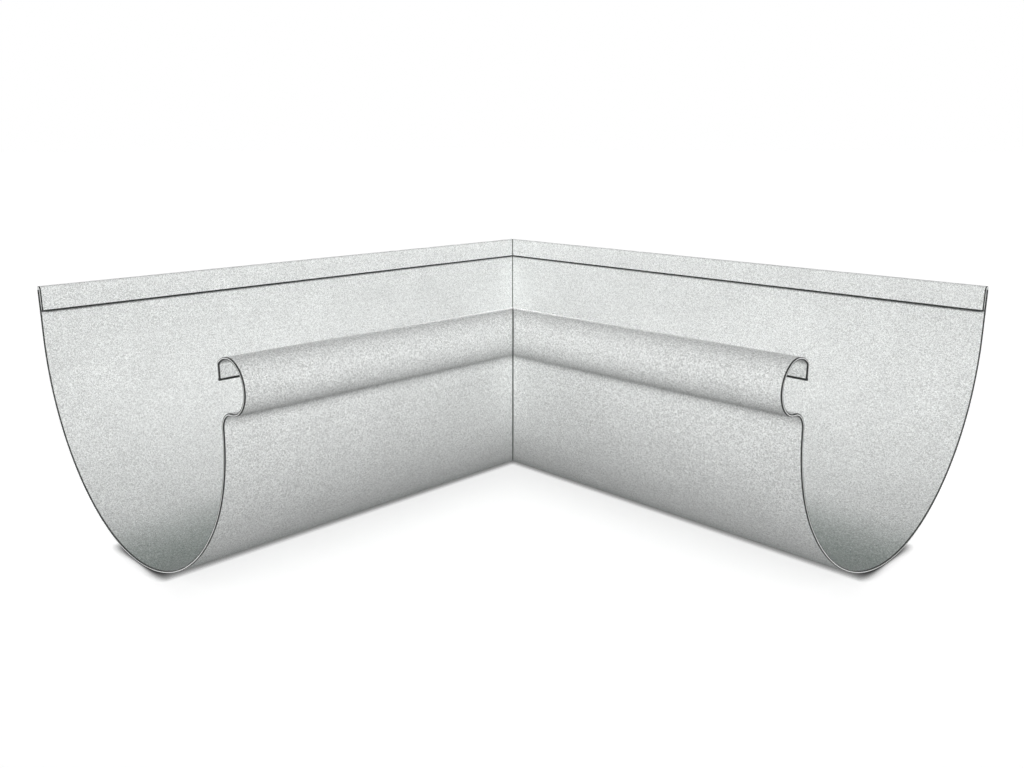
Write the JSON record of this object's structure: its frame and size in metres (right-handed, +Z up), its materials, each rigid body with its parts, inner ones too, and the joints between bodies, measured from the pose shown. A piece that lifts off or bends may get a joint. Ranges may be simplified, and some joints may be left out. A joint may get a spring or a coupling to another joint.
{
  "type": "internal gutter angle",
  "caption": "Half-round sheet-metal gutter angle for an inside roof corner: a mitred right-angle elbow with a hemmed back edge and an open rolled bead along the front.",
  "frame": {"origin": "centre of the bounding box in plan, at the lowest line of the channel, on which the angle stands", "axes": "+Z up out of the open channel; one arm runs along +X with its back wall facing +Y, the other along -Y with its back wall facing -X; the two meet at the mitre plane x = -y"},
  "size_m": [0.2758, 0.2758, 0.0968],
  "materials": {
    "coated_steel": "matt light grey with a fine even grain, the same inside and outside"
  },
  "bodies": {
    "root": {"gutter_angle": "coated_steel"}
  },
  "joints": []
}
